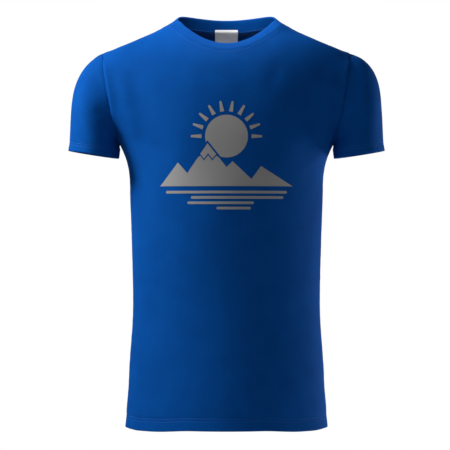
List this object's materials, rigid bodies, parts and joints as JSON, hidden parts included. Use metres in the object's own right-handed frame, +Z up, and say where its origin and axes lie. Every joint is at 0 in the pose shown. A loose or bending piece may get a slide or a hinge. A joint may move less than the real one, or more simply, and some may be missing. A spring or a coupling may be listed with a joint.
{
  "type": "t-shirt",
  "caption": "Fitted short-sleeved crew-neck T-shirt in royal blue jersey, in its worn shape, with a grey chest print and a blank neck label.",
  "frame": {"origin": "midway between the two neck points, where the shoulder seams meet the neckband, on the wearer's centre plane", "axes": "+Z up, -Y out of the front, +X towards the wearer's left side"},
  "size_m": [0.548, 0.2458, 0.7114],
  "materials": {
    "jersey": "matte",
    "rib": "matte",
    "seam_thread": "matte",
    "label": "satin",
    "print": "matte"
  },
  "bodies": {
    "root": {"front_panel": "jersey", "back_panel": "jersey", "left_sleeve": "jersey", "right_sleeve": "jersey", "neckband": "rib", "front_neck_seam": "seam_thread", "back_neck_tape": "seam_thread", "left_side_seam": "seam_thread", "right_side_seam": "seam_thread", "left_shoulder_seam": "seam_thread", "right_shoulder_seam": "seam_thread", "left_armhole_seam": "seam_thread", "right_armhole_seam": "seam_thread", "neck_label": "label", "front_print": "print"}
  },
  "joints": []
}
